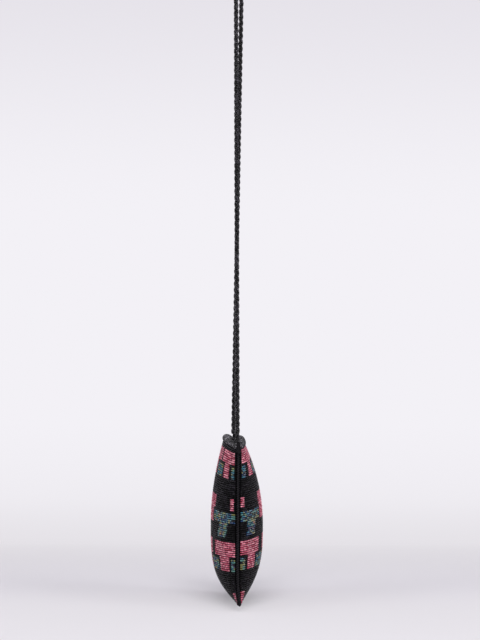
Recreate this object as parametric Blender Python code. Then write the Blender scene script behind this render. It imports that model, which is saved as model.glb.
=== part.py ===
"""Beaded crossbody bag, hanging by its plaited strap. Metres, +Z up, +Y towards the back panel.

Two pillow-shaped panels of bead rows meet at an edging cord down both sides and along the bottom. Rolled bead rims
finish the mouth, which a zip closes. The origin is the point under the strap's top bend where the bag is hung.
"""

import math

import bmesh
import bpy
import numpy as np
from mathutils import Matrix, Vector

# Bead cloth
ROW_PITCH = 0.00235
ROWS = 74
COLUMNS = 104
CLOTH = 0.0022
ROW_GROOVE = 0.0009

# Bag shape, measured to the outer faces of the bead cloth
WIDTH = 0.208
SEAM_HALF = 0.003
BELLY_HALF = 0.0306
MOUTH_HALF = 0.0128
BELLY_LEVEL = 0.49
LOWER_CURVE = 3.2
UPPER_CURVE = 2.05
CROWN_CURVE = 0.65
SIDE_PULL = 0.004
BOTTOM_BOW = 0.006
TOP_CROWN = 0.0045
BACK_CROWN_DROP = 0.002
CROWN_RISE = 1.8
TIP_LEAN = 0.0025
TIP_SHARE = 0.2
BELLY_LEAN = 0.0012
MOUTH_LEAN = 0.0029

# Clearance between pieces that touch
GAP = 0.0003

# Edging cord round the sides and the bottom
EDGE_RADIUS = 0.0011
CORNER_RADIUS = 0.006
EDGE_STOP = 0.005

# Rolled rims
RIM_RADIUS = 0.004
RIM_END_RADIUS = 0.0015
FRONT_RIM_TILT = math.radians(40)
BACK_RIM_TILT = math.radians(40)
RIM_SHARE = 0.985
RIM_WRAPS = 24
WRAP_RIDGE = 0.0003

# Lining pouch
LINING = 0.0005
LINING_GAP = 0.0005
LINING_DROP = 0.0006

# Zip
ZIP_DROP = 0.0003
TAPE_THICKNESS = 0.0006
TAPE_END_ROOM = 0.007
TAPE_TAIL = 0.0085
TAPE_MIDDLE_GAP = 0.0003
TOOTH_PITCH = 0.003
TOOTH_REACH = 0.0014
TOOTH_TAPER = 0.00015
COMB_HALF_SPINE = 0.0017
COMB_HALF_WIDTH = 0.003
TEETH_THICKNESS = 0.0014
STOP_LENGTH = 0.0024
STOP_WIDTH = 0.0046
SLIDER_LENGTH = 0.0085
SLIDER_WALL = 0.0006
SLIDER_TOP = 0.0014
SLIDER_END_ROOM = 0.0165
BAIL_THICKNESS = 0.0008
BAIL_SPAN = 0.0052
BAIL_ROOM = 0.0014
PULL_WIDTH = 0.003
PULL_LENGTH = 0.0155
PULL_THICKNESS = 0.0008
PULL_HEAD = 0.0036

# Strap and its whipped ends
STRAP_DIAMETER = 0.0048
STRAP_DROP = 0.57
STRAP_BEND = 0.011
STRAP_TURN = math.radians(-18)
STRAP_LEG_POINTS = 35
STRAP_BEND_POINTS = 8
ANCHOR_RADIUS = 0.0024
ANCHOR_RIDGE = 0.0004
ANCHOR_LENGTH = 0.0135
ANCHOR_WRAPS = 5
ANCHOR_SIDES = 12

BLACK, PINK, BLUE = range(3)

# Bead columns are counted from the nearer side seam: (first row, past last row, fields of first, past last, colour)
GROUP = (
    (-1, 6, ((1, 4, BLUE), (8, 18, PINK), (21, 40, BLUE), (40, 52, PINK))),
    (6, 7, ((8, 18, PINK), (40, 52, PINK))),
    (7, 13, ((1, 31, PINK), (40, 52, PINK))),
)
BANDS = (
    (0, 5, ((1, 4, PINK),)),
    *((first + 15, past + 15, fields) for first, past, fields in GROUP),
    (31, 37, ((8, 21, BLUE),)),
    (37, 38, ((8, 21, BLUE), (40, 52, PINK))),
    (38, 43, ((1, 31, BLUE), (40, 52, PINK))),
    (43, 44, ((40, 52, PINK),)),
    (44, 50, ((1, 4, PINK), (31, 52, PINK))),
    *((first + 59, past + 59, fields) for first, past, fields in GROUP),
)
# The back panel's fields stand this many rows higher
BACK_SHIFT = 1
FIELD_EDGES = (0, 4, 8, 18, 31, 40, 52)
# The plain lining side of the bead cloth has points only in these rows, closer where it curves more
PLAIN_ROWS = (3, 6, 10, 15, 21, 30, 42, 54, 64)

PANEL_BASE = 2 * EDGE_RADIUS + GAP
PANEL_HEIGHT = ROWS * ROW_PITCH
SEAM_TOP = PANEL_BASE + PANEL_HEIGHT
ZIP_LEVEL = SEAM_TOP - ZIP_DROP
TAPE_HALF = WIDTH / 2 - TAPE_END_ROOM
TEETH_HALF = TAPE_HALF - TAPE_TAIL
SLIDER_REST_X = SLIDER_END_ROOM - TEETH_HALF
STRAP_FOOT = SEAM_TOP + ANCHOR_LENGTH - EDGE_STOP + 2 * GAP
HANG_HEIGHT = STRAP_FOOT + STRAP_DROP


def swell(level):
    """How much of the greatest swell the middle of a panel has at this level, 0 at the bottom and 1 at the top."""
    if level < BELLY_LEVEL:
        return 1 - (1 - level / BELLY_LEVEL) ** LOWER_CURVE
    above = (level - BELLY_LEVEL) / (1 - BELLY_LEVEL)
    mouth = (MOUTH_HALF - SEAM_HALF) / (BELLY_HALF - SEAM_HALF)
    return 1 - (1 - mouth) * above**UPPER_CURVE


def half_width(level):
    """From the middle to the side seam, which is drawn in where the bag swells and is rounded at the bottom corner."""
    below = max(0.0, CORNER_RADIUS - level * PANEL_HEIGHT)
    corner = CORNER_RADIUS - math.sqrt(CORNER_RADIUS**2 - below**2)
    return WIDTH / 2 - SIDE_PULL * swell(level) - corner


def mid_y(level):
    return TIP_LEAN * max(0.0, 1 - level / TIP_SHARE) ** 2


def lean(level):
    """How far the middle of the whole bag stands back at this level. Its mouth leans to the front."""
    return BELLY_LEAN * 4 * level * (1 - level) - MOUTH_LEAN * level**5


def panel_point(side, across, row, inward=0.0):
    """A point of a panel: side -1 front, 1 back; across -1 to 1 between the seams; inward is the depth in the cloth."""
    level = row / ROWS
    crown = max(0.0, 1 - across * across)
    depth = SEAM_HALF + (BELLY_HALF - SEAM_HALF) * swell(level) * crown**CROWN_CURVE - inward
    top = TOP_CROWN - (BACK_CROWN_DROP if side > 0 else 0.0)
    lift = -BOTTOM_BOW + (BOTTOM_BOW + top) * level**CROWN_RISE
    return Vector(
        (
            across * half_width(level),
            side * depth + mid_y(level) + lean(level) * crown**2,
            PANEL_BASE + row * ROW_PITCH + lift * crown,
        )
    )


def bead_edges(side, row):
    """The place across the panel of each edge between beads in this row, which holds the same beads in every row."""
    across = np.sin(np.linspace(-math.pi / 2, math.pi / 2, 241))
    points = np.array([panel_point(side, a, row) for a in across])
    steps = np.linalg.norm(np.diff(points, axis=0), axis=1)
    arc = np.concatenate([[0.0], np.cumsum(steps)])
    return np.interp(np.linspace(0, arc[-1], COLUMNS + 1), arc, across)


def field_colour(side, row, column):
    from_seam = min(column, COLUMNS - 1 - column)
    row -= BACK_SHIFT if side > 0 else 0
    for first_row, past_row, fields in BANDS:
        if first_row <= row < past_row:
            for first, past, colour in fields:
                if first <= from_seam < past:
                    return colour
    return BLACK


def material(name, colour, roughness, metallic=0.0):
    made = bpy.data.materials.new(name)
    made.use_nodes = True
    shader = made.node_tree.nodes["Principled BSDF"]
    shader.inputs["Base Color"].default_value = (*colour, 1)
    shader.inputs["Roughness"].default_value = roughness
    shader.inputs["Metallic"].default_value = metallic
    made.diffuse_color = (*colour, 1)
    return made


def add_object(name, data, *materials, smooth=False):
    for each in materials:
        data.materials.append(each)
    made = bpy.data.objects.new(name, data)
    bpy.context.scene.collection.objects.link(made)
    made.parent = bag_frame
    if smooth:
        data.shade_smooth()
        data.set_sharp_from_angle(angle=math.radians(40))
    return made


def mesh_from(bm, name):
    bmesh.ops.recalc_face_normals(bm, faces=bm.faces)
    bmesh.ops.triangulate(bm, faces=bm.faces, quad_method="SHORT_EDGE")
    mesh = bpy.data.meshes.new(name)
    bm.to_mesh(mesh)
    bm.free()
    return mesh


def join_rows(bm, first, second):
    return [
        bm.faces.new((first[i], first[i + 1], second[i + 1], second[i]))
        for i in range(len(first) - 1)
    ]


def bead_panel(name, side):
    """One wall of bead cloth. Its outer face has a groove between every two bead rows, its lining side is plain."""
    bm = bmesh.new()
    columns = sorted({*FIELD_EDGES, *(COLUMNS - c for c in FIELD_EDGES)})
    plain_rows = [0, *(row for row in PLAIN_ROWS if row < ROWS), ROWS]
    outer = []
    for half_row in range(2 * ROWS + 1):
        across = bead_edges(side, half_row / 2)
        sunk = 0.0 if half_row % 2 or half_row in (0, 2 * ROWS) else ROW_GROOVE
        outer.append(
            [
                bm.verts.new(panel_point(side, across[c], half_row / 2, 0.0 if c in (0, COLUMNS) else sunk))
                for c in columns
            ]
        )
    inner = {}
    for row in plain_rows:
        across = bead_edges(side, row)
        inner[row] = [bm.verts.new(panel_point(side, across[c], row, CLOTH)) for c in columns]
    for half_row in range(2 * ROWS):
        strips = join_rows(bm, outer[half_row], outer[half_row + 1])
        for face, first, past in zip(strips, columns, columns[1:]):
            face.material_index = field_colour(side, half_row // 2, (first + past) // 2)
    for low, high in zip(plain_rows, plain_rows[1:]):
        join_rows(bm, inner[low], inner[high])
        for end in (0, -1):
            edge = [outer[half_row][end] for half_row in range(2 * low, 2 * high + 1)]
            bm.faces.new([*edge, inner[high][end], inner[low][end]])
    join_rows(bm, outer[0], inner[0])
    join_rows(bm, outer[-1], inner[ROWS])
    return add_object(name, mesh_from(bm, name), black_beads, pink_beads, blue_beads)


def loft(bm, rings):
    """Joins closed rings of as many points each, in order, and closes both ends."""
    made = [[bm.verts.new(point) for point in ring] for ring in rings]
    for first, second in zip(made, made[1:]):
        for i in range(len(first)):
            j = (i + 1) % len(first)
            bm.faces.new((first[i], first[j], second[j], second[i]))
    bm.faces.new(made[0])
    bm.faces.new(made[-1])


def rim_roll(name, side):
    """The rolled edge of one panel's mouth, wrapped with strings of beads."""
    bm = bmesh.new()
    rings = []
    count = 2 * RIM_WRAPS
    for step in range(count + 1):
        across = RIM_SHARE * math.sin(math.pi * (step / count - 0.5))
        crown = 1 - across * across
        radius = RIM_END_RADIUS + (RIM_RADIUS - RIM_END_RADIUS) * math.sqrt(crown)
        tilt = (FRONT_RIM_TILT if side < 0 else BACK_RIM_TILT) * crown**0.3
        seat = panel_point(side, across, ROWS, CLOTH / 2)
        reach = radius + GAP
        centre = seat + Vector((0, -side * reach * math.sin(tilt), reach * math.cos(tilt)))
        drawn_in = radius - (WRAP_RIDGE if step % 2 else 0.0)
        rings.append(
            [
                centre + Vector((0, drawn_in * math.cos(turn), drawn_in * math.sin(turn)))
                for turn in (2 * math.pi * i / 8 for i in range(8))
            ]
        )
    loft(bm, rings)
    return add_object(name, mesh_from(bm, name), black_beads, smooth=True)


def tube(name, points, diameter, sides_level, surface):
    curve = bpy.data.curves.new(name, "CURVE")
    curve.dimensions = "3D"
    curve.bevel_depth = diameter / 2
    curve.bevel_resolution = sides_level
    curve.use_fill_caps = True
    spline = curve.splines.new("POLY")
    spline.points.add(len(points) - 1)
    for point, place in zip(spline.points, points):
        point.co = (*place, 1)
    curve.materials.append(surface)
    made = bpy.data.objects.new(name, curve)
    bpy.context.scene.collection.objects.link(made)
    made.parent = bag_frame
    return made


def smooth_route(points, leg_count, bend_count, bend_length):
    """Points on the smooth curve through a route's own points, closer over the bend at its middle."""
    ends = [2 * points[0] - points[1], *points, 2 * points[-1] - points[-2]]
    fine = []
    for a, b, c, d in zip(ends, ends[1:], ends[2:], ends[3:]):
        for t in np.linspace(0, 1, 24, endpoint=False):
            fine.append(
                0.5 * (2 * b + (c - a) * t + (2 * a - 5 * b + 4 * c - d) * t**2 + (3 * b - a - 3 * c + d) * t**3)
            )
    fine.append(points[-1])
    places = np.array(fine)
    arc = np.concatenate([[0.0], np.cumsum(np.linalg.norm(np.diff(places, axis=0), axis=1))])
    bend_start = (arc[-1] - bend_length) / 2
    bend_end = bend_start + bend_length
    at = [
        *np.linspace(0, bend_start, leg_count, endpoint=False),
        *np.linspace(bend_start, bend_end, bend_count, endpoint=False),
        *np.linspace(bend_end, arc[-1], leg_count + 1),
    ]
    return [Vector([np.interp(place, arc, places[:, k]) for k in range(3)]) for place in at]


def seam_point(row):
    level = row / ROWS
    return Vector((half_width(level), mid_y(level), PANEL_BASE + row * ROW_PITCH))


def edge_route():
    """Down one side seam, round the corner, along the bottom seam and up the other side."""
    away = EDGE_RADIUS + GAP
    short = 0.05
    last_row = (PANEL_HEIGHT - EDGE_STOP) / ROW_PITCH
    rows = [0, 0.1, 0.3, 0.6, 1, 1.5, 2, 3, *np.linspace(5, last_row, 18)]
    half = []
    for row in reversed(rows):
        run = seam_point(row + short) - seam_point(max(0, row - short))
        half.append(seam_point(row) + away * Vector((run.z, 0, -run.x)).normalized())
    for across in np.linspace(0.97, 0, 12):
        place = panel_point(1, across, 0)
        half.append(Vector((place.x, mid_y(0), place.z - away)))
    mirrored = [Vector((-p.x, p.y, p.z)) for p in reversed(half[:-1])]
    return half + mirrored


def lining_pouch():
    bm = bmesh.new()
    edges = [c for c in FIELD_EDGES if c >= 4]
    columns = sorted({*edges, *(COLUMNS - c for c in edges)})
    rows = [*(row for row in PLAIN_ROWS if row < ROWS), ROWS]

    def ring(row, depth, drop=0.0):
        walls = []
        for side in (-1, 1):
            across = bead_edges(side, row)
            wall = [panel_point(side, across[c], row, CLOTH + depth) for c in columns]
            for point in wall:
                point.x -= math.copysign(depth if abs(point.x) > abs(wall[1].x) else 0.0, point.x)
                if row == ROWS:
                    point.z = ZIP_LEVEL - TAPE_THICKNESS - LINING_DROP
                point.z += drop
            walls.append(wall)
        return walls[0] + walls[1][::-1]

    outer = [ring(row, LINING_GAP) for row in rows]
    inner = [ring(row, LINING_GAP + LINING, LINING if row == rows[0] else 0.0) for row in rows]
    loft(bm, outer + inner[::-1])
    return add_object("lining", mesh_from(bm, "lining"), lining_cloth)


def slab(outline, low, high):
    """A closed plate of the outline between two levels."""
    bm = bmesh.new()
    face = bm.faces.new([bm.verts.new((x, y, low)) for x, y in outline])
    made = bmesh.ops.extrude_face_region(bm, geom=[face])
    moved = [v for v in made["geom"] if isinstance(v, bmesh.types.BMVert)]
    bmesh.ops.translate(bm, verts=moved, vec=(0, 0, high - low))
    return bm


def zip_tape(name, side):
    """The woven tape between one row of teeth and the panel's mouth."""
    row = (ZIP_LEVEL - PANEL_BASE) / ROW_PITCH
    teeth_end = TEETH_HALF + STOP_LENGTH + 3 * GAP
    beside = COMB_HALF_WIDTH + GAP
    outline = []
    for i in range(25):
        x = TAPE_HALF * math.sin(math.pi * (i / 24 - 0.5))
        level = row / ROWS
        across = x / half_width(level)
        wall = panel_point(side, across, row, CLOTH).y
        outline.append((x, wall - side * GAP))
    outline += [
        (TAPE_HALF, side * TAPE_MIDDLE_GAP),
        (teeth_end, side * TAPE_MIDDLE_GAP),
        (teeth_end, side * beside),
        (-teeth_end, side * beside),
        (-teeth_end, side * TAPE_MIDDLE_GAP),
        (-TAPE_HALF, side * TAPE_MIDDLE_GAP),
    ]
    bm = slab(outline, ZIP_LEVEL - TAPE_THICKNESS, ZIP_LEVEL)
    return add_object(name, mesh_from(bm, name), zip_cloth)


def zip_teeth(name, side):
    """One row of teeth on its spine. The two rows stand half a pitch apart, so their teeth lie between each other."""
    tooth = TOOTH_PITCH / 2 - GAP
    count = int(2 * TEETH_HALF / TOOTH_PITCH)
    end = TEETH_HALF
    shift = TOOTH_PITCH / 4 * side
    outline = [(end, side * COMB_HALF_WIDTH), (-end, side * COMB_HALF_WIDTH), (-end, side * COMB_HALF_SPINE)]
    for i in range(count):
        x = (i - (count - 1) / 2) * TOOTH_PITCH + shift
        outline += [
            (x - tooth / 2, side * COMB_HALF_SPINE),
            (x - tooth / 2 + TOOTH_TAPER, -side * TOOTH_REACH),
            (x + tooth / 2 - TOOTH_TAPER, -side * TOOTH_REACH),
            (x + tooth / 2, side * COMB_HALF_SPINE),
        ]
    outline.append((end, side * COMB_HALF_SPINE))
    middle = ZIP_LEVEL - TAPE_THICKNESS / 2
    bm = slab(outline, middle - TEETH_THICKNESS / 2, middle + TEETH_THICKNESS / 2)
    return add_object(name, mesh_from(bm, name), zip_metal)


def bevelled_box(name, size, centre, bevel, surface, segments=2):
    bm = bmesh.new()
    bmesh.ops.create_cube(bm, size=1, matrix=Matrix.Translation(centre) @ Matrix.Diagonal((*size, 1)))
    bmesh.ops.bevel(
        bm, geom=bm.edges[:], offset=bevel, affect="EDGES", segments=segments, profile=0.5, material=-1
    )
    return add_object(name, mesh_from(bm, name), surface, smooth=True)


def combine(target, other, operation):
    """A Boolean with a helper, which is left out of the model."""
    other.hide_render = True
    other.display_type = "WIRE"
    step = target.modifiers.new(operation.title(), "BOOLEAN")
    step.operation = operation
    step.object = other


def zip_slider_and_pull():
    """The slider sits over the teeth between low side walls. The pull's cross bar swings under the slider's bail."""
    teeth_top = ZIP_LEVEL - TAPE_THICKNESS / 2 + TEETH_THICKNESS / 2
    half = COMB_HALF_WIDTH + GAP + SLIDER_WALL
    low = ZIP_LEVEL + GAP
    roof = teeth_top + GAP
    top = roof + SLIDER_TOP
    slider = bevelled_box(
        "zip_slider", (SLIDER_LENGTH, 2 * half, top - low), (0, 0, (top + low) / 2), 0.0004, zip_metal, 1
    )
    channel = bevelled_box(
        "channel_cutter",
        (SLIDER_LENGTH * 2, 2 * (COMB_HALF_WIDTH + GAP), 2 * (roof - low)),
        (0, 0, low),
        0.00005,
        zip_metal,
        1,
    )
    combine(slider, channel, "DIFFERENCE")
    overlap = SLIDER_TOP / 2
    bail_top = top + BAIL_ROOM + BAIL_THICKNESS
    bail = bevelled_box(
        "bail_block",
        (BAIL_SPAN, BAIL_THICKNESS, bail_top - top + overlap),
        (0, 0, (bail_top + top - overlap) / 2),
        0.0002,
        zip_metal,
        1,
    )
    window = bevelled_box(
        "bail_window",
        (BAIL_SPAN - 2 * BAIL_THICKNESS, BAIL_THICKNESS * 2, BAIL_ROOM + 2 * overlap),
        (0, 0, top - overlap + BAIL_ROOM / 2),
        0.00005,
        zip_metal,
        1,
    )
    combine(bail, window, "DIFFERENCE")
    combine(slider, bail, "UNION")
    axis = top + GAP + PULL_THICKNESS / 2
    eye_half = BAIL_THICKNESS / 2 + GAP
    start = -PULL_THICKNESS / 2
    pull = bevelled_box(
        "zip_pull",
        (PULL_LENGTH, PULL_WIDTH, PULL_THICKNESS),
        (start + PULL_LENGTH / 2, 0, 0),
        0.0002,
        zip_metal,
        1,
    )
    eye = bevelled_box(
        "eye_cutter",
        (PULL_HEAD - PULL_THICKNESS / 2, 2 * eye_half, PULL_THICKNESS * 3),
        ((PULL_HEAD + PULL_THICKNESS / 2) / 2, 0, 0),
        0.00005,
        zip_metal,
        1,
    )
    combine(pull, eye, "DIFFERENCE")
    for piece in (slider, channel, bail, window):
        piece.location = (SLIDER_REST_X, 0, 0)
    for piece in (pull, eye):
        piece.location = (SLIDER_REST_X, 0, axis)


def zip_stop(name, hand):
    centre_x = hand * (TEETH_HALF + GAP + STOP_LENGTH / 2)
    return bevelled_box(
        name,
        (STOP_LENGTH, STOP_WIDTH, TEETH_THICKNESS + 2 * GAP),
        (centre_x, 0, ZIP_LEVEL - TAPE_THICKNESS / 2),
        0.0003,
        zip_metal,
        1,
    )


def anchor_x():
    return half_width(1) + GAP + ANCHOR_RADIUS


def strap_anchor(name, hand):
    """The strap's end, whipped round and sewn to the corner."""
    bm = bmesh.new()
    foot = SEAM_TOP - EDGE_STOP + GAP
    steps = 2 * ANCHOR_WRAPS
    rings = []
    for step in range(steps + 1):
        radius = ANCHOR_RADIUS - (ANCHOR_RIDGE if step % 2 == 0 else 0.0)
        height = foot + ANCHOR_LENGTH * step / steps
        rings.append(
            [
                Vector((hand * anchor_x() + radius * math.cos(turn), radius * math.sin(turn), height))
                for turn in (2 * math.pi * i / ANCHOR_SIDES for i in range(ANCHOR_SIDES))
            ]
        )
    loft(bm, rings)
    return add_object(name, mesh_from(bm, name), whipping_thread, smooth=True)


def strap_route():
    """From the right corner straight up to the bend over what holds it, and down to the left corner."""
    foot = Vector((anchor_x(), 0, STRAP_FOOT))
    across = Vector((math.cos(STRAP_TURN), math.sin(STRAP_TURN), 0))
    centre = Vector((0, 0, HANG_HEIGHT + STRAP_DIAMETER / 2 - STRAP_BEND))
    bend = [
        centre + STRAP_BEND * (math.cos(turn) * across + Vector((0, 0, math.sin(turn))))
        for turn in (math.radians(a) for a in (8, 35, 62, 90, 118, 145, 172))
    ]
    other = Vector((-foot.x, 0, foot.z))
    up = [foot.lerp(bend[0], share) for share in (0, 0.15, 0.3, 0.45, 0.6, 0.75, 0.9, 0.97)]
    down = [other.lerp(bend[-1], share) for share in (0.97, 0.9, 0.75, 0.6, 0.45, 0.3, 0.15, 0)]
    return up + bend + down


for old in list(bpy.data.objects):
    bpy.data.objects.remove(old, do_unlink=True)

black_beads = material("black beads", (0.012, 0.012, 0.014), 0.25)
pink_beads = material("pink beads", (0.55, 0.10, 0.16), 0.3)
blue_beads = material("blue beads", (0.03, 0.17, 0.24), 0.25)
black_cord = material("black cord", (0.012, 0.012, 0.013), 0.6)
lining_cloth = material("lining cloth", (0.02, 0.02, 0.022), 0.9)
zip_cloth = material("zip cloth", (0.015, 0.015, 0.017), 0.85)
zip_metal = material("zip metal", (0.05, 0.05, 0.055), 0.35, 1.0)
whipping_thread = material("whipping thread", (0.012, 0.012, 0.013), 0.7)

bag_frame = bpy.data.objects.new("bag_frame", None)
bpy.context.scene.collection.objects.link(bag_frame)
bag_frame.location = (0, 0, -HANG_HEIGHT)

bead_panel("front_panel", -1)
bead_panel("back_panel", 1)
tube("edge_cord", edge_route(), 2 * EDGE_RADIUS, 2, black_cord)
rim_roll("front_rim", -1)
rim_roll("back_rim", 1)
lining_pouch()
zip_tape("zip_tape_front", -1)
zip_tape("zip_tape_back", 1)
zip_teeth("zip_teeth_front", -1)
zip_teeth("zip_teeth_back", 1)
zip_stop("zip_stop_left", -1)
zip_stop("zip_stop_right", 1)
zip_slider_and_pull()
strap_anchor("strap_anchor_left", -1)
strap_anchor("strap_anchor_right", 1)
strap_points = smooth_route(strap_route(), STRAP_LEG_POINTS, STRAP_BEND_POINTS, math.pi * STRAP_BEND)
tube("strap", strap_points, STRAP_DIAMETER, 2, black_beads)
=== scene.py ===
import math

import bmesh
import bpy
import numpy as np
from mathutils import Matrix, Quaternion, Vector


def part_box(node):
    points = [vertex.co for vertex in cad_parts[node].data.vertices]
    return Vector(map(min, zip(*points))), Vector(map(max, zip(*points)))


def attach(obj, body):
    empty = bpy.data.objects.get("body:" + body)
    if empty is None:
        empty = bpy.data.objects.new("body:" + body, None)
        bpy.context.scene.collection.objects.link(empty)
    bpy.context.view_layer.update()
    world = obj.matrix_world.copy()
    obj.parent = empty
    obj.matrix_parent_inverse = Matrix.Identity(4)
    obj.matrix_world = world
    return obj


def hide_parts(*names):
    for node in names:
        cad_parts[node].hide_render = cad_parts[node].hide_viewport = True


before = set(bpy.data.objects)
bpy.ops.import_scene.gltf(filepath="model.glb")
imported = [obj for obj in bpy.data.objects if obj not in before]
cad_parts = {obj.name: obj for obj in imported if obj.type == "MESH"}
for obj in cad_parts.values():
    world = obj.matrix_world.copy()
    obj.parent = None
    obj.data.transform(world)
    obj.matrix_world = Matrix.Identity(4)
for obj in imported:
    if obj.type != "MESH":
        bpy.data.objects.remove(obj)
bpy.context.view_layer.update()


# Bead cloth.
# Each wall of the bag is a sheet of glass seed beads strung in rows on a black backing. Every row holds the same
# number of beads, so the rows swell over the belly of the bag and draw in at its side seams.
# Side -1 is the front panel and side 1 the back panel. A level is a share of the panel's height.
ROW_PITCH = 0.00235
ROWS = 74
COLUMNS = 104
WIDTH = 0.208
SEAM_HALF = 0.003
BELLY_HALF = 0.0306
MOUTH_HALF = 0.0128
BELLY_LEVEL = 0.49
LOWER_CURVE = 3.2
UPPER_CURVE = 2.05
CROWN_CURVE = 0.65
SIDE_PULL = 0.004
BOTTOM_BOW = 0.006
TOP_CROWN = 0.0045
BACK_CROWN_DROP = 0.002
CROWN_RISE = 1.8
TIP_LEAN = 0.0025
TIP_SHARE = 0.2
BELLY_LEAN = 0.0012
MOUTH_LEAN = 0.0029
MOUTH_LEAN_CURVE = 5
CORNER_RADIUS = 0.006
PANEL_BASE = 0.0025
PANEL_HEIGHT = ROWS * ROW_PITCH
CLOTH = 0.0022
BEAD_SIDES = 6
BEAD_RADIUS = 0.00095
BEAD_RADIUS_SPREAD = 0.025
BEAD_SCATTER = 0.00005
BEAD_DEPTH = 0.00104
BEAD_FILL = 0.99
BEAD_WAIST = 0.8
TONE_RUN = 0.45
BACKING_DEPTH = 0.0011
BACKING_THICKNESS = 0.0007
BACKING_SQUARES = (48, 40)
# How many row pitches a row of beads climbs on its way from the side seams to the middle of each panel
ROW_CLIMB = {-1: 5.5, 1: 10.0}
CLIMB_START = 0.7
BAG_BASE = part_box("front_panel")[0][2] + BOTTOM_BOW - PANEL_BASE
chance = np.random.default_rng(7)


def swell(level):
    """How far the walls stand out at a level, from 0 at the bottom tip to 1 at the belly and less at the mouth."""
    below = 1 - np.clip(1 - level / BELLY_LEVEL, 0, 1) ** LOWER_CURVE
    above = np.clip((level - BELLY_LEVEL) / (1 - BELLY_LEVEL), 0, None)
    mouth = (MOUTH_HALF - SEAM_HALF) / (BELLY_HALF - SEAM_HALF)
    return below - (1 - mouth) * above**UPPER_CURVE


def half_width(level):
    """Half the width at a level. The belly draws the side seams in, and the bottom corners are round."""
    below = np.clip(CORNER_RADIUS - level * PANEL_HEIGHT, 0, None)
    corner = CORNER_RADIUS - np.sqrt(CORNER_RADIUS**2 - below**2)
    return WIDTH / 2 - SIDE_PULL * swell(level) - corner


def mid_y(level):
    """Where the side seams stand between front and back. The bottom tip leans towards the back."""
    return TIP_LEAN * np.clip(1 - level / TIP_SHARE, 0, None) ** 2


def cloth_point(side, across, row, inward=0.0):
    """Points of a panel. Across goes from -1 to 1 between the side seams, and inward is the depth in the cloth."""
    across, row = np.broadcast_arrays(np.asarray(across, float), np.asarray(row, float))
    level = row / ROWS
    crown = np.clip(1 - across**2, 0, None)
    depth = SEAM_HALF + (BELLY_HALF - SEAM_HALF) * swell(level) * crown**CROWN_CURVE - inward
    lean = BELLY_LEAN * 4 * level * (1 - level) - MOUTH_LEAN * level**MOUTH_LEAN_CURVE
    top = TOP_CROWN - (BACK_CROWN_DROP if side > 0 else 0.0)
    lift = -BOTTOM_BOW + (BOTTOM_BOW + top) * level**CROWN_RISE
    height = BAG_BASE + PANEL_BASE + row * ROW_PITCH + lift * crown
    return np.stack([across * half_width(level), side * depth + mid_y(level) + lean * crown**2, height], axis=-1)


def bead_place(side, across, row):
    """Points of a row of beads, which climbs towards the middle of the panel, and less so at its top and bottom."""
    level = np.asarray(row) / ROWS
    climb = ROW_CLIMB[side] * level**CLIMB_START * (1 - level) * (1 - across**2)
    return cloth_point(side, across, row + climb)


def bead_edges(side, row):
    """The place across the panel of each edge between the beads of a row."""
    across = np.sin(np.linspace(-math.pi / 2, math.pi / 2, 241))
    steps = np.linalg.norm(np.diff(cloth_point(side, across, row), axis=0), axis=1)
    arc = np.concatenate([[0.0], np.cumsum(steps)])
    return np.interp(np.linspace(0, arc[-1], COLUMNS + 1), arc, across)


def unit(vectors):
    return vectors / np.linalg.norm(vectors, axis=-1, keepdims=True)


def add_piece(name, mesh, body, slot, *materials, smooth=True):
    for each in materials:
        mesh.materials.append(each)
    if smooth:
        mesh.shade_smooth()
    piece = bpy.data.objects.new(name, mesh)
    bpy.context.scene.collection.objects.link(piece)
    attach(piece, body)
    return piece


def mesh_of(bm, name):
    bmesh.ops.recalc_face_normals(bm, faces=bm.faces)
    mesh = bpy.data.meshes.new(name)
    bm.to_mesh(mesh)
    bm.free()
    return mesh


def bead_shape():
    """One seed bead, a six-sided barrel along Z with a radius and a length of 1."""
    bm = bmesh.new()
    bmesh.ops.create_cone(bm, cap_ends=True, segments=BEAD_SIDES, radius1=BEAD_WAIST, radius2=BEAD_WAIST, depth=1)
    upright = [e for e in bm.edges if abs(e.verts[0].co.z - e.verts[1].co.z) > 0.5]
    bmesh.ops.subdivide_edges(bm, edges=upright, cuts=1)
    middle = [v for v in bm.verts if abs(v.co.z) < 0.1]
    bmesh.ops.scale(bm, verts=middle, vec=(1 / BEAD_WAIST, 1 / BEAD_WAIST, 1))
    return mesh_of(bm, "bead shape")


BEAD = bead_shape()
BEAD_CORNERS = np.array([v.co for v in BEAD.vertices])
BEAD_FACES = [list(face.vertices) for face in BEAD.polygons]


def string_beads(name, centres, along, out, lengths, radii):
    """A mesh of copies of the bead, each lying along its string. Short runs of beads share a random tone."""
    count = len(centres)
    across = np.cross(along, out)
    lengths, radii = np.broadcast_to(lengths, count), np.broadcast_to(radii, count)
    corners = (
        centres[:, None]
        + (BEAD_CORNERS[None, :, 0, None] * radii[:, None, None]) * out[:, None]
        + (BEAD_CORNERS[None, :, 1, None] * radii[:, None, None]) * across[:, None]
        + (BEAD_CORNERS[None, :, 2, None] * lengths[:, None, None]) * along[:, None]
    )
    each = len(BEAD_CORNERS)
    faces = [[corner + each * bead for corner in face] for bead in range(count) for face in BEAD_FACES]
    mesh = bpy.data.meshes.new(name)
    mesh.from_pydata(corners.reshape(-1, 3), [], faces)
    tones, same = chance.random(count), chance.random(count) < TONE_RUN
    for bead in range(1, count):
        if same[bead]:
            tones[bead] = tones[bead - 1]
    tone = mesh.attributes.new("tone", "FLOAT", "POINT")
    tone.data.foreach_set("value", np.repeat(tones, each).astype(np.float32))
    return mesh


# Painted shade: the beads' colour is darkened in irregular patches, by up to a quarter.
PATCHY_SHADE = 0.25
PATCHY_SHADE_SCALE = 90
PATCHY_SHADE_START = 0.35
PATCHY_SHADE_END = 0.7
TONE_DULLING = 0.15
SHEEN_ROUGHNESS = 0.2
WEAVE_HEIGHT = 0.0002
WEAVE_WAVINESS = 1.5


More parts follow.
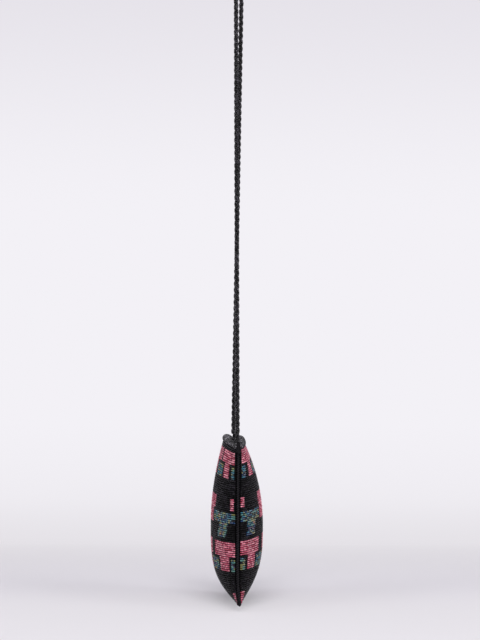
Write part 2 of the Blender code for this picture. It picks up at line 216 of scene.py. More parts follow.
def effect_group(name, inputs, outputs):
    """A new shader node group with named sockets, and the two nodes that stand for them inside it."""
    group = bpy.data.node_groups.new(name, "ShaderNodeTree")
    for way, sockets in (("INPUT", inputs), ("OUTPUT", outputs)):
        for socket, kind in sockets.items():
            group.interface.new_socket(socket, in_out=way, socket_type=f"NodeSocket{kind}")
    return group, group.nodes.new("NodeGroupInput"), group.nodes.new("NodeGroupOutput")


def patchy_shade_effect():
    """Darkens the colour of beads in irregular patches of painted shade, and dulls each bead by its own tone."""
    group, given, made = effect_group(
        "bead grime",
        {"Colour": "Color", "Tone": "Float", "Roughness": "Float"},
        {"Colour": "Color", "Roughness": "Float"},
    )
    nodes, links = group.nodes, group.links
    where = nodes.new("ShaderNodeTexCoord")
    patches = nodes.new("ShaderNodeTexNoise")
    patches.inputs["Scale"].default_value = PATCHY_SHADE_SCALE
    patches.inputs["Detail"].default_value = 3
    links.new(where.outputs["Object"], patches.inputs["Vector"])
    dark = nodes.new("ShaderNodeMapRange")
    dark.inputs["From Min"].default_value = PATCHY_SHADE_START
    dark.inputs["From Max"].default_value = PATCHY_SHADE_END
    dark.inputs["To Min"].default_value = 1 - PATCHY_SHADE
    links.new(patches.outputs["Fac"], dark.inputs["Value"])
    shaded = nodes.new("ShaderNodeMix")
    shaded.data_type = "RGBA"
    shaded.blend_type = "MULTIPLY"
    shaded.inputs["Factor"].default_value = 1.0
    links.new(given.outputs["Colour"], shaded.inputs["A"])
    links.new(dark.outputs["Result"], shaded.inputs["B"])
    links.new(shaded.outputs["Result"], made.inputs["Colour"])
    dull = nodes.new("ShaderNodeMath")
    dull.operation = "MULTIPLY_ADD"
    dull.inputs[1].default_value = TONE_DULLING
    links.new(given.outputs["Tone"], dull.inputs[0])
    links.new(given.outputs["Roughness"], dull.inputs[2])
    links.new(dull.outputs["Value"], made.inputs["Roughness"])
    return group


def texture_effect(name, kind, fineness, bands=None):
    """Mixes two colours over a texture on the object, and puts out the texture as a mask too."""
    group, given, made = effect_group(
        name,
        {"Low": "Color", "High": "Color", "Scale": "Float", fineness: "Float"},
        {"Colour": "Color", "Mask": "Float"},
    )
    nodes, links = group.nodes, group.links
    where = nodes.new("ShaderNodeTexCoord")
    texture = nodes.new(kind)
    if bands:
        texture.bands_direction = bands
    links.new(where.outputs["Object"], texture.inputs["Vector"])
    links.new(given.outputs["Scale"], texture.inputs["Scale"])
    links.new(given.outputs[fineness], texture.inputs[fineness])
    tint = nodes.new("ShaderNodeMix")
    tint.data_type = "RGBA"
    links.new(given.outputs["Low"], tint.inputs["A"])
    links.new(given.outputs["High"], tint.inputs["B"])
    links.new(texture.outputs["Fac"], tint.inputs["Factor"])
    links.new(tint.outputs["Result"], made.inputs["Colour"])
    links.new(texture.outputs["Fac"], made.inputs["Mask"])
    return group


def new_material(name, settings, effect, values):
    """A material with its shader's settings and one shared effect on it, whose colour it takes."""
    made = bpy.data.materials.new(name)
    made.use_nodes = True
    nodes, links = made.node_tree.nodes, made.node_tree.links
    shader = nodes["Principled BSDF"]
    placed = nodes.new("ShaderNodeGroup")
    placed.node_tree = effect
    for node, wanted in ((shader, settings), (placed, values)):
        for socket, value in wanted.items():
            node.inputs[socket].default_value = value
    links.new(placed.outputs["Colour"], shader.inputs["Base Color"])
    return made, shader, placed


def raise_by_mask(made, shader, placed, strength, height):
    """Lets an effect's mask raise the surface in fine relief."""
    bump = made.node_tree.nodes.new("ShaderNodeBump")
    bump.inputs["Strength"].default_value = strength
    bump.inputs["Distance"].default_value = height
    made.node_tree.links.new(placed.outputs["Mask"], bump.inputs["Height"])
    made.node_tree.links.new(bump.outputs["Normal"], shader.inputs["Normal"])


def shades(colour, low, high):
    """A darker and a lighter shade of a colour, for an effect to mix."""
    return {"Low": (*(low * c for c in colour), 1), "High": (*(high * c for c in colour), 1)}


patchy_shade = patchy_shade_effect()
# Where the weave's relief is low, its colour is the darker one: painted shade in the hollows between threads.
cloth_weave = texture_effect("cloth weave", "ShaderNodeTexWave", "Distortion", bands="Z")


def bead_glass(name, ramp, roughness, metallic=0.0, gloss=0.5, sheen=0.0, steps=False):
    """Glass beads whose colour is drawn bead by bead from a ramp."""
    settings = {
        "Metallic": metallic,
        "Specular IOR Level": gloss,
        "Sheen Weight": sheen,
        "Sheen Roughness": SHEEN_ROUGHNESS,
    }
    made, shader, placed = new_material(name, settings, patchy_shade, {"Roughness": roughness})
    nodes, links = made.node_tree.nodes, made.node_tree.links
    tone = nodes.new("ShaderNodeAttribute")
    tone.attribute_name = "tone"
    colours = nodes.new("ShaderNodeValToRGB")
    colours.color_ramp.interpolation = "CONSTANT" if steps else "LINEAR"
    for stop, (position, colour) in zip(colours.color_ramp.elements, (ramp[0], ramp[-1])):
        stop.position = position
        stop.color = (*colour, 1)
    for position, colour in ramp[1:-1]:
        colours.color_ramp.elements.new(position).color = (*colour, 1)
    links.new(tone.outputs["Fac"], colours.inputs["Fac"])
    links.new(colours.outputs["Color"], placed.inputs["Colour"])
    links.new(tone.outputs["Fac"], placed.inputs["Tone"])
    links.new(placed.outputs["Roughness"], shader.inputs["Roughness"])
    return made


def black_cloth(name, colour, threads):
    """Plain black cloth with a fine weave, drawn darker in the weave's hollows as painted shade."""
    made, shader, placed = new_material(
        name,
        {"Roughness": 0.9, "Specular IOR Level": 0.03},
        cloth_weave,
        {**shades(colour, 0.6, 1.0), "Scale": threads, "Distortion": WEAVE_WAVINESS},
    )
    raise_by_mask(made, shader, placed, strength=0.4, height=WEAVE_HEIGHT)
    return made


# The black beads' tone differs at random. Its lightest end is a painted highlight: glints drawn into the glass.
black_glass = bead_glass(
    "black glass beads",
    ((0.0, (0.0008, 0.0006, 0.001)), (0.6, (0.0022, 0.0017, 0.0028)), (1.0, (0.026, 0.023, 0.03))),
    0.12,
    gloss=0.1,
    sheen=0.015,
)
string_glass = bead_glass(
    "black string beads",
    ((0.0, (0.0016, 0.0013, 0.002)), (0.6, (0.004, 0.0033, 0.005)), (1.0, (0.04, 0.036, 0.045))),
    0.14,
    gloss=0.32,
)
# The rim beads' tone differs at random. Its lightest end, up to a mid grey on black beads, is a painted highlight for
# the glints on the rims.
rim_glass = bead_glass(
    "black rim beads",
    ((0.0, (0.0016, 0.0013, 0.002)), (0.55, (0.006, 0.005, 0.007)), (1.0, (0.17, 0.16, 0.18))),
    0.12,
    gloss=0.55,
)
# The pink beads' tone differs at random. Its palest end is a painted highlight.
pink_glass = bead_glass(
    "pink lined beads",
    ((0.0, (0.38, 0.022, 0.06)), (0.5, (0.56, 0.09, 0.165)), (1.0, (0.92, 0.33, 0.42))),
    0.2,
    sheen=0.25,
)
blue_glass = bead_glass(
    "blue iridescent beads",
    (
        (0.0, (0.004, 0.007, 0.016)),
        (0.16, (0.006, 0.045, 0.145)),
        (0.32, (0.018, 0.165, 0.245)),
        (0.54, (0.09, 0.25, 0.22)),
        (0.73, (0.23, 0.23, 0.08)),
        (0.93, (0.09, 0.05, 0.13)),
        (0.965, (0.42, 0.16, 0.06)),
    ),
    0.2,
    metallic=0.35,
    sheen=0.4,
    steps=True,
)
# Partly the backing's own black and partly painted shade: it is drawn much darker than the lining, and it shows
# between the rows of beads and between the rim wraps.
backing_black_and_shade = black_cloth("black backing", (0.0015, 0.0014, 0.0018), 900)

# The pattern. Each band has its first row, the row past its last and its fields, and each field has its first column,
# the column past its last and its colour. Columns are counted from the nearer side seam, and what no field covers is
# black. The T shapes stand in groups, and the two panels differ a little.
BLACK, PINK, BLUE = range(3)
MIDDLE = COLUMNS // 2
BLOCK_ROWS = 6
STEM_ROWS = 7
BLOCK_GAP = 3
BLOCK_END = 40
MIDDLE_STEM = (45, MIDDLE, PINK)


def tee_group(row, bar_rows, bar, stem, near_block, next_bar):
    """Pink T shapes that hang from their bars, with blue blocks between their stems."""
    stems = ((*stem, PINK), MIDDLE_STEM)
    far_block = (stem[1] + BLOCK_GAP, BLOCK_END, BLUE)
    bars = row + STEM_ROWS
    return (
        (row, row + BLOCK_ROWS, ((*near_block, BLUE), *stems, far_block)),
        (row + BLOCK_ROWS, bars, stems),
        (bars, bars + bar_rows, ((*bar, PINK), (next_bar, MIDDLE, PINK))),
    )


BANDS = {
    -1: (
        (0, 5, ((1, 6, PINK),)),
        *tee_group(15, 7, (0, 28), (5, 18), (0, 3), 38),
        (31, 34, ((8, 21, BLUE),)),
        (34, 36, ((7, 20, BLUE),)),
        (36, 37, ((6, 18, BLUE),)),
        (37, 38, ((6, 18, BLUE), (34, MIDDLE, PINK))),
        (38, 43, ((0, 31, BLUE), (34, MIDDLE, PINK))),
        (43, 44, ((34, MIDDLE, PINK),)),
        (44, 50, ((1, 4, PINK), (29, MIDDLE, PINK))),
        *tee_group(59, 6, (1, 27), (8, 18), (1, 4), 31),
    ),
    1: (
        (0, 6, ((0, 7, PINK),)),
        *tee_group(16, 7, (0, 25), (7, 18), (0, 4), 38),
        (32, 34, ((5, 17, BLUE),)),
        (34, 36, ((7, 17, BLUE),)),
        (36, 38, ((6, 18, BLUE),)),
        (38, 39, ((6, 18, BLUE), (29, MIDDLE, PINK))),
        (39, 44, ((0, 26, BLUE), (29, MIDDLE, PINK))),
        (44, 45, ((29, MIDDLE, PINK),)),
        (45, 46, ((27, MIDDLE, PINK),)),
        (46, 51, ((0, 3, PINK), (27, MIDDLE, PINK))),
        *tee_group(60, 7, (1, 31), (12, 23), (1, 6), 34),
    ),
}


def field_colour(side, row, column):
    from_seam = min(column, COLUMNS - 1 - column)
    for first_row, past_row, fields in BANDS[side]:
        if first_row <= row < past_row:
            for first, past, colour in fields:
                if first <= from_seam < past:
                    return colour
    return BLACK


def cloth_frame(side, across, row):
    """The direction along the row and the direction out of the cloth."""
    share, rise = 1e-4, 1e-2
    along = unit(bead_place(side, across + share, row) - bead_place(side, across - share, row))
    up = unit(bead_place(side, across, row + rise) - bead_place(side, across, row - rise))
    return along, unit(side * np.cross(up, along))


def bead_cloth(side, word):
    """One panel: its beads, by colour, and the backing that they are sewn to."""
    places, alongs, outs, lengths, colours = [], [], [], [], []
    for row in range(ROWS):
        edges = bead_edges(side, row + 0.5)
        across = (edges[:-1] + edges[1:]) / 2
        along, out = cloth_frame(side, across, row + 0.5)
        ends = bead_place(side, edges, row + 0.5)
        places.append(bead_place(side, across, row + 0.5) - BEAD_DEPTH * out)
        alongs.append(along)
        outs.append(out)
        lengths.append(np.linalg.norm(np.diff(ends, axis=0), axis=1))
        colours += [field_colour(side, row, column) for column in range(COLUMNS)]
    places, alongs, outs = np.concatenate(places), np.concatenate(alongs), np.concatenate(outs)
    lengths, colours = np.concatenate(lengths), np.array(colours)
    places = places + chance.normal(0, BEAD_SCATTER, places.shape)
    radii = BEAD_RADIUS * chance.normal(1, BEAD_RADIUS_SPREAD, len(places))
    glasses = {"black": (BLACK, black_glass), "pink": (PINK, pink_glass), "blue": (BLUE, blue_glass)}
    for shade, (colour, material) in glasses.items():
        chosen = colours == colour
        name = f"{word}_{shade}_beads"
        beads = places[chosen], alongs[chosen], outs[chosen], BEAD_FILL * lengths[chosen], radii[chosen]
        mesh = string_beads(name, *beads)
        add_piece(name, mesh, "bag", "beadwork", material)

    bm = bmesh.new()
    bmesh.ops.create_grid(bm, x_segments=BACKING_SQUARES[0], y_segments=BACKING_SQUARES[1], size=1)
    for vert in bm.verts:
        across = math.sin(vert.co.x * math.pi / 2)
        vert.co = cloth_point(side, across, (vert.co.y + 1) / 2 * ROWS, BACKING_DEPTH)
    bmesh.ops.recalc_face_normals(bm, faces=bm.faces)
    if bm.faces[0].normal.y * side < 0:
        bmesh.ops.reverse_faces(bm, faces=bm.faces)
    bmesh.ops.solidify(bm, geom=bm.faces[:], thickness=BACKING_THICKNESS)
    backing = add_piece(f"{word}_backing", mesh_of(bm, f"{word}_backing"), "bag", "beadwork", backing_black_and_shade)
    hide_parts(f"{word}_panel")


bead_cloth(-1, "front")
bead_cloth(1, "back")


# Edging cord.
# A black cord of three plies runs down both side seams and along the bottom seam. A thread sewn over and over it
# holds it to both panels, and each bottom corner is whipped round closely with the same waxed thread.
EDGE_RADIUS = 0.0011
EDGE_GAP = 0.0003
EDGE_STOP = 0.005
PLIES = 3
PLY_LAY = 0.0055
PLY_RADIUS = 0.0006
PLY_STEP = 0.0009
PLY_SIDES = 6
OVERCAST_LAY = 0.0026
OVERCAST_RADIUS = 0.0004
OVERCAST_STEP = 0.0003
OVERCAST_SIDES = 5
CORNER_WRAP_HEIGHT = 0.006
CORNER_WRAP_LAY = 0.001
CORNER_WRAP_REACH = 0.0016
CORNER_WRAP_STEP = 0.0002


def edge_route():
    """The cord's own line, from one end of the mouth down, along the bottom and up to the other end."""
    away = EDGE_RADIUS + EDGE_GAP
    rows = [0, 0.1, 0.3, 0.6, 1, 1.5, 2, 3, *np.linspace(5, (PANEL_HEIGHT - EDGE_STOP) / ROW_PITCH, 18)]
    half = []
    for row in reversed(rows):
        ends = [
            np.array([half_width(r / ROWS), mid_y(r / ROWS), BAG_BASE + PANEL_BASE + r * ROW_PITCH])
            for r in (max(0, row - 0.05), row, row + 0.05)
        ]
        run = ends[2] - ends[0]
        half.append(ends[1] + away * unit(np.array([run[2], 0, -run[0]])))
    for across in np.linspace(0.97, 0, 12):
        place = cloth_point(1, across, 0)
        half.append(np.array([place[0], mid_y(0), place[2] - away]))
    return np.array(half + [p * (-1, 1, 1) for p in reversed(half[:-1])])


def even_points(route, spacing):
    """Points at an even spacing along a route, with the direction at each."""
    arc = np.concatenate([[0.0], np.cumsum(np.linalg.norm(np.diff(route, axis=0), axis=1))])
    at = np.linspace(0, arc[-1], round(arc[-1] / spacing) + 1)
    points = np.stack([np.interp(at, arc, route[:, k]) for k in range(3)], axis=1)
    return at, points, unit(np.gradient(points, axis=0))


def skin_rings(bm, rings):
    """Joins rings of points into one tube and closes both its ends."""
    rings = [[bm.verts.new(point) for point in ring] for ring in rings]
    for first, second in zip(rings, rings[1:]):
        for i in range(len(first)):
            bm.faces.new((first[i - 1], first[i], second[i], second[i - 1]))
    bm.faces.new(rings[0])
    bm.faces.new(rings[-1])


def ply_tubes(name, lines, radius, sides):
    """Round plies along lines of points, each closed at both ends."""
    bm = bmesh.new()
    turn = np.linspace(0, 2 * math.pi, sides, endpoint=False)[:, None]
    for line in lines:
        heading = unit(np.gradient(line, axis=0))
        start = np.argmin(np.abs(heading[0]))
        normal = np.cross(heading[0], np.eye(3)[start])
        rings = []
        for point, tangent in zip(line, heading):
            normal = unit(normal - tangent * np.dot(normal, tangent))
            other = np.cross(tangent, normal)
            rings.append(point + radius * (np.cos(turn) * normal + np.sin(turn) * other))
        skin_rings(bm, rings)
    return mesh_of(bm, name)


def twist(route, spacing, plies, lay, reach):
    """The lines of plies that wind round a route at a reach from it, one turn in each lay."""
    at, points, heading = even_points(route, spacing)
    sideways = np.array([0.0, 1.0, 0.0])
    first = unit(sideways - heading * (heading @ sideways)[:, None])
    second = np.cross(heading, first)
    lines = []
    for ply in range(plies):
        turn = (2 * math.pi * (at / lay + ply / plies))[:, None]
        lines.append(points + reach * (np.cos(turn) * first + np.sin(turn) * second))
    return lines


FIBRE_SCALE = 1800
FIBRE_HEIGHT = 0.0001
# The speckle mixes a darker and a lighter colour over fine noise. On thread, whose relief the same noise raises, the
# darker colour is painted shade in the low spots. On the zip's plating it marks rubbed patches.
speckle = texture_effect("speckle", "ShaderNodeTexNoise", "Detail")


def black_thread(name, colour, roughness):
    """Waxed black thread with a little fuzz between its fibres, drawn darker where its fine relief is low as painted
    shade.
    """
    made, shader, placed = new_material(
        name,
        {"Roughness": roughness, "Specular IOR Level": 0.15},
        speckle,
        {**shades(colour, 0.5, 1.8), "Scale": FIBRE_SCALE, "Detail": 4},
    )
    raise_by_mask(made, shader, placed, strength=0.5, height=FIBRE_HEIGHT)
    return made


# Partly the thread's own black and partly painted shade: it is drawn darker than the lining, so that the cord along
# the seams stands for the dark groove there.
waxed_thread_and_shade = black_thread("waxed black thread", (0.004, 0.0033, 0.0045), 0.6)
glossy_thread = black_thread("glossy black thread", (0.012, 0.0105, 0.014), 0.4)
plies = twist(edge_route(), PLY_STEP, PLIES, PLY_LAY, EDGE_RADIUS - PLY_RADIUS)
mesh = ply_tubes("edging", plies, PLY_RADIUS, PLY_SIDES)
edging = add_piece("edging", mesh, "bag", "black_cord", waxed_thread_and_shade)
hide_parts("edge_cord")
overcast = twist(edge_route(), OVERCAST_STEP, 1, OVERCAST_LAY, EDGE_RADIUS + OVERCAST_RADIUS / 2)
mesh = ply_tubes("overcasting", overcast, OVERCAST_RADIUS, OVERCAST_SIDES)
add_piece("overcasting", mesh, "bag", "black_cord", glossy_thread)
for hand, word in ((-1, "left"), (1, "right")):
    corner = [p for p in edge_route() if p[0] * hand > 0 and p[2] < BAG_BASE + CORNER_WRAP_HEIGHT]
    wrap = twist(np.array(corner), CORNER_WRAP_STEP, 1, CORNER_WRAP_LAY, CORNER_WRAP_REACH)
    name = f"corner_whipping_{word}"
    add_piece(name, ply_tubes(name, wrap, CORNER_WRAP_LAY / 2, PLY_SIDES), "bag", "black_cord", waxed_thread_and_shade)


# Rims.
# The mouth of each panel is rolled inwards and wrapped over and over with short strings of black beads. Every third
# wrap stands a little proud of the others.
RIM_RADIUS = 0.004
RIM_END_RADIUS = 0.0015
RIM_TILT = math.radians(40)
RIM_TILT_CURVE = 0.3
RIM_REACH = 0.985
RIM_BEAD_RADIUS = 0.0009
RIM_BEAD_LENGTH = 0.0019
RIM_WRAP_PITCH = 0.0021
RIM_SLANT = 0.35
RIM_RIDGE = 0.0004
RIM_RIDGE_WRAPS = 3
RIM_STEPS = 2000
RIM_CORE_STEPS = 50
RIM_CORE_SIDES = 12
RIM_CORE_INSET = 1.6 * RIM_BEAD_RADIUS
RIM_CORE_LEAST = 0.0004


def rim_line(side, across):
    """The middle line of a rolled rim and its radius, both along the mouth."""
    crown = 1 - across**2
    radius = RIM_END_RADIUS + (RIM_RADIUS - RIM_END_RADIUS) * np.sqrt(crown)
    tilt = RIM_TILT * crown**RIM_TILT_CURVE
    seat = cloth_point(side, across, float(ROWS), CLOTH / 2)
    reach = radius + EDGE_GAP
    lean = np.stack([0 * across, -side * reach * np.sin(tilt), reach * np.cos(tilt)], axis=-1)
    return seat + lean, radius


def rolled_rim(side, word):
    """The beads of a rim, wrap by wrap, and the black core that they are wound on."""
    across = np.sin(np.linspace(-1, 1, RIM_STEPS + 1) * math.asin(RIM_REACH))
    line, radius = rim_line(side, across)
    arc = np.concatenate([[0.0], np.cumsum(np.linalg.norm(np.diff(line, axis=0), axis=1))])
    heading = unit(np.gradient(line, axis=0))
    centres, alongs, outs = [], [], []
    wraps = round(arc[-1] / RIM_WRAP_PITCH)
    for wrap in range(wraps + 1):
        place = arc[-1] * wrap / wraps
        ridge = RIM_RIDGE * math.cos(2 * math.pi * wrap / RIM_RIDGE_WRAPS)
        turn_radius = np.interp(place, arc, radius) - RIM_BEAD_RADIUS + ridge
        count = max(4, round(2 * math.pi * turn_radius / RIM_BEAD_LENGTH))
        for step in range(count):
            turn = 2 * math.pi * (step + 0.5 * (wrap % 2)) / count
            slid = np.clip(place + RIM_SLANT * turn_radius * math.sin(turn), 0, arc[-1])
            centre = np.array([np.interp(slid, arc, line[:, k]) for k in range(3)])
            ahead = unit(np.array([np.interp(slid, arc, heading[:, k]) for k in range(3)]))
            flat = unit(np.cross(ahead, (0.0, 0.0, 1.0)))
            high = np.cross(flat, ahead)
            out = math.cos(turn) * flat + math.sin(turn) * high
            along = unit(-math.sin(turn) * flat + math.cos(turn) * high + RIM_SLANT * math.cos(turn) * ahead)
            centres.append(centre + turn_radius * out)
            alongs.append(along)
            outs.append(unit(out - along * np.dot(out, along)))
    mesh = string_beads(
        f"{word}_rim_beads", np.array(centres), np.array(alongs), np.array(outs), RIM_BEAD_LENGTH, RIM_BEAD_RADIUS
    )
    beads = add_piece(f"{word}_rim_beads", mesh, "bag", "black_beads", rim_glass)
    bm = bmesh.new()
    rings = []
    turn = np.linspace(0, 2 * math.pi, RIM_CORE_SIDES, endpoint=False)[:, None]
    for i in range(0, RIM_STEPS + 1, RIM_STEPS // RIM_CORE_STEPS):
        flat = unit(np.cross(heading[i], (0.0, 0.0, 1.0)))
        high = np.cross(flat, heading[i])
        inner = max(RIM_CORE_LEAST, radius[i] - RIM_CORE_INSET)
        rings.append(line[i] + inner * (np.cos(turn) * flat + np.sin(turn) * high))
    skin_rings(bm, rings)
    add_piece(f"{word}_rim_core", mesh_of(bm, f"{word}_rim_core"), "bag", "black_beads", backing_black_and_shade)
    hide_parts(f"{word}_rim")


rolled_rim(-1, "front")
rolled_rim(1, "back")


# Lining and zip.
# A black cotton pouch hangs inside from the zip's two woven tapes, which are sewn in below the rims. The teeth,
# stops, slider and pull are dark plated metal. These pieces keep the shapes that they have in the frame.
lining_cotton = black_cloth("black lining cotton", (0.02, 0.02, 0.022), 1400)
zip_weave = black_cloth("zip tape weave", (0.018, 0.018, 0.02), 1100)


PLATING_PATCH_SCALE = 400
PLATING_ROUGHNESS = (0.22, 0.45)


def plated_metal(name, colour):
    """Dark plating, rubbed a little brighter in patches."""
    made, shader, placed = new_material(
        name, {"Metallic": 1.0}, speckle, {**shades(colour, 1.0, 2.2), "Scale": PLATING_PATCH_SCALE, "Detail": 5}
    )
    dull = made.node_tree.nodes.new("ShaderNodeMapRange")
    dull.inputs["To Min"].default_value, dull.inputs["To Max"].default_value = PLATING_ROUGHNESS
    made.node_tree.links.new(placed.outputs["Mask"], dull.inputs["Value"])
    made.node_tree.links.new(dull.outputs["Result"], shader.inputs["Roughness"])
    return made


zip_plating = plated_metal("dark zip plating", (0.09, 0.09, 0.095))


def finish_node(node, material):
    """Gives a piece of the frame itself its finish."""
    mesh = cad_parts[node].data
    mesh.materials.clear()
    mesh.materials.append(material)


finish_node("lining", lining_cotton)
for tape in ("zip_tape_front", "zip_tape_back"):
    finish_node(tape, zip_weave)
for metal in ("zip_teeth_front", "zip_teeth_back", "zip_stop_left", "zip_stop_right", "zip_slider", "zip_pull"):
    finish_node(metal, zip_plating)


# Strap.
# One plait of three strings of black beads, 6 mm wide and 4 mm thick, runs from the right corner over what the bag
# hangs on and down to the left corner. Its two legs are drawn taut by the bag.
STRAP_DIAMETER = 0.0048
STRAP_DROP = 0.57
STRAP_BEND = 0.011
BEND_DEGREES = (8, 35, 62, 90, 118, 145, 172)
LEG_SHARES = (0, 0.15, 0.3, 0.45, 0.6, 0.75, 0.9, 0.97)
STRAP_TURN = math.radians(-21)
STRAP_FOOT_Y = -0.0011
STRAP_TOP_Y = 0.0006
STRAP_BEAD_RADIUS = 0.0013
STRAP_BEAD_PITCH = 0.0017
PLAIT_LAY = 0.0225
PLAIT_SWING = 0.0017
PLAIT_RISE = 0.0008
PLAIT_STEP = 0.0005
STRAP_BEAD_FILL = 0.94
ROUTE_STEPS = 24
PATH_STEPS = 8
ANCHOR_X = float(sum(corner[0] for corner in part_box("strap_anchor_right")) / 2)


def strap_route():
    """Points up the right-hand leg, round the bend at the top and down the left-hand leg."""
    foot = np.array([ANCHOR_X, STRAP_FOOT_Y, -STRAP_DROP])
    other = foot * (-1, 1, 1)
    across = np.array([math.cos(STRAP_TURN), math.sin(STRAP_TURN), 0])
    centre = np.array([0, STRAP_TOP_Y, STRAP_DIAMETER / 2 - STRAP_BEND])
    bend = [
        centre + STRAP_BEND * (math.cos(turn) * across + np.array([0, 0, math.sin(turn)]))
        for turn in map(math.radians, BEND_DEGREES)
    ]
    up = [foot + (bend[0] - foot) * share for share in LEG_SHARES]
    down = [other + (bend[-1] - other) * share for share in reversed(LEG_SHARES)]
    return up + bend + down


def smooth_line(points):
    """A smooth curve through all of the points."""
    ends = [2 * points[0] - points[1], *points, 2 * points[-1] - points[-2]]
    fine = []
    for a, b, c, d in zip(ends, ends[1:], ends[2:], ends[3:]):
        for t in np.linspace(0, 1, ROUTE_STEPS, endpoint=False):
            fine.append(
                0.5 * (2 * b + (c - a) * t + (2 * a - 5 * b + 4 * c - d) * t**2 + (3 * b - a - 3 * c + d) * t**3)
            )
    return np.array([*fine, points[-1]])


def plaited_strap():
    """Three bead strings that swing from side to side and pass over and under each other along the route."""
    at, points, heading = even_points(smooth_line(strap_route()), PLAIT_STEP)
    legs_plane = np.array([-math.sin(STRAP_TURN), math.cos(STRAP_TURN), 0.0])
    wide = unit(legs_plane - heading * (heading @ legs_plane)[:, None])
    thick = np.cross(heading, wide)
    centres, alongs, outs = [], [], []
    for strand in range(3):
        turn = (2 * math.pi * (at / PLAIT_LAY + strand / 3))[:, None]
        line = points + PLAIT_SWING * np.sin(turn) * wide + PLAIT_RISE * np.sin(2 * turn) * thick
        _, beads, direction = even_points(line, STRAP_BEAD_PITCH)
        run = np.cumsum(np.linalg.norm(np.diff(line, axis=0), axis=1))
        nearest = np.searchsorted(run, np.arange(len(beads)) * STRAP_BEAD_PITCH)
        out = thick[np.clip(nearest, 0, len(thick) - 1)]
        centres.append(beads)
        alongs.append(direction)
        outs.append(unit(out - direction * np.sum(out * direction, axis=1, keepdims=True)))
    mesh = string_beads(
        "plaited_strap",
        np.concatenate(centres),
        np.concatenate(alongs),
        np.concatenate(outs),
        STRAP_BEAD_FILL * STRAP_BEAD_PITCH,
        STRAP_BEAD_RADIUS,
    )
    strap = add_piece("plaited_strap", mesh, "bag", "black_beads", string_glass)
    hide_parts("strap")
    path = points[::PATH_STEPS]
    if (len(points) - 1) % PATH_STEPS:
        path = np.concatenate([path, points[-1:]])


plaited_strap()


# Strap ends.
# Each end of the plait is whipped round with waxed thread, which tapers a little towards both its ends, and is sewn
# into the corner of the mouth above the edging cord.
WHIP_RADIUS = 0.0024
WHIP_THREAD = 0.00045
WHIP_CORE_RADIUS = WHIP_RADIUS - 1.6 * WHIP_THREAD
WHIP_CORE_SIDES = 16
WHIP_TAPER = 0.0005
WHIP_TAPER_CURVE = 3
WHIP_TURN_STEPS = 14


def whipped_end(word):
    """The thread wound round one end of the strap, tapered at both ends, and the end inside it."""
    low, high = (np.array(corner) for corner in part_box(f"strap_anchor_{word}"))
    middle = (low + high) / 2
    height = high[2] - low[2]
    turns = height / (2 * WHIP_THREAD) - 1
    steps = round(turns * WHIP_TURN_STEPS)
    share = np.linspace(0, 1, steps + 1)
    turn = 2 * math.pi * turns * share
    barrel = WHIP_RADIUS - WHIP_THREAD - WHIP_TAPER * np.abs(2 * share - 1) ** WHIP_TAPER_CURVE
    line = np.stack(
        [
            middle[0] + barrel * np.cos(turn),
            middle[1] + barrel * np.sin(turn),
            low[2] + WHIP_THREAD + (height - 2 * WHIP_THREAD) * share,
        ],
        axis=1,
    )
    mesh = ply_tubes(f"whipping_{word}", [line], WHIP_THREAD, PLY_SIDES)
    thread = add_piece(f"whipping_{word}", mesh, "bag", "whipping_thread", waxed_thread_and_shade)
    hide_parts(f"strap_anchor_{word}")
    bm = bmesh.new()
    bmesh.ops.create_cone(
        bm,
        cap_ends=True,
        segments=WHIP_CORE_SIDES,
        radius1=WHIP_CORE_RADIUS,
        radius2=WHIP_CORE_RADIUS,
        depth=height - 2 * WHIP_THREAD,
        matrix=Matrix.Translation(middle),
    )
    mesh = mesh_of(bm, f"whipping_core_{word}")
    add_piece(f"whipping_core_{word}", mesh, "bag", "whipping_thread", waxed_thread_and_shade, smooth=False)


whipped_end("left")
whipped_end("right")


# Studio.
# A pale seamless backdrop, bright behind the bag and greyer on the floor, which the bag hangs just clear of. Wide
# soft lamps stand above the camera and at both sides.
FLOOR_DROP = 0.001
FLOOR_AHEAD = 6.0
BACKDROP_DEPTH = 3.2
BACKDROP_RISE = 4.0
BACKDROP_HALF = 5.0
COVE_RADIUS = 1.6
COVE_STEPS = 24
# The paper's colour and the colours of its glow. The glow is painted light: bright on the wall, and greyer higher up
# it and on the floor as painted shade.
FLOOR_COLOUR = (0.775, 0.752, 0.79)
WALL_COLOUR = (0.896, 0.879, 0.922)
HIGH_WALL_COLOUR = (0.78, 0.755, 0.81)
FLOOR = BAG_BASE - BOTTOM_BOW - FLOOR_DROP


